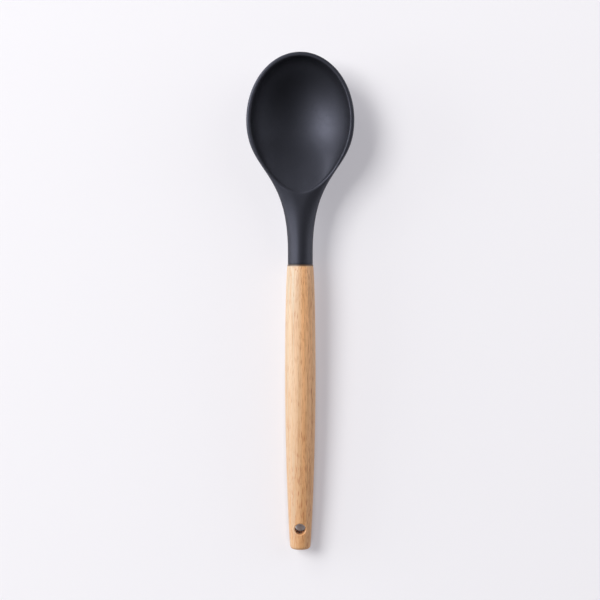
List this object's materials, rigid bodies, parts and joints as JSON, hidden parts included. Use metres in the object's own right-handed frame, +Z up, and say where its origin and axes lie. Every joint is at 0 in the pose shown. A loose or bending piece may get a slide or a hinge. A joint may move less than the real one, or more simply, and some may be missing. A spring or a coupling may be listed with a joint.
{
  "type": "silicone spoon",
  "caption": "Deep oval cooking spoon with a charcoal silicone bowl and neck moulded over a stiff core, glued into a barrel-shaped beech handle with a hanging hole.",
  "frame": {"origin": "middle of the bounding box, on the table that the spoon lies on", "axes": "+Y from the handle's tail to the bowl's tip, +Z up out of the open bowl, +X to the right of the picture"},
  "size_m": [0.069, 0.32, 0.0256],
  "materials": {
    "silicone": "smooth matte silicone with a soft sheen",
    "nylon": "as moulded, hidden inside the silicone",
    "glue": "cured adhesive, hidden inside the handle",
    "beech": "sanded and oiled, grain along the handle"
  },
  "bodies": {
    "root": {"silicone_head": "silicone", "nylon_core": "nylon", "glue_sleeve": "glue", "beech_handle": "beech"}
  },
  "joints": []
}
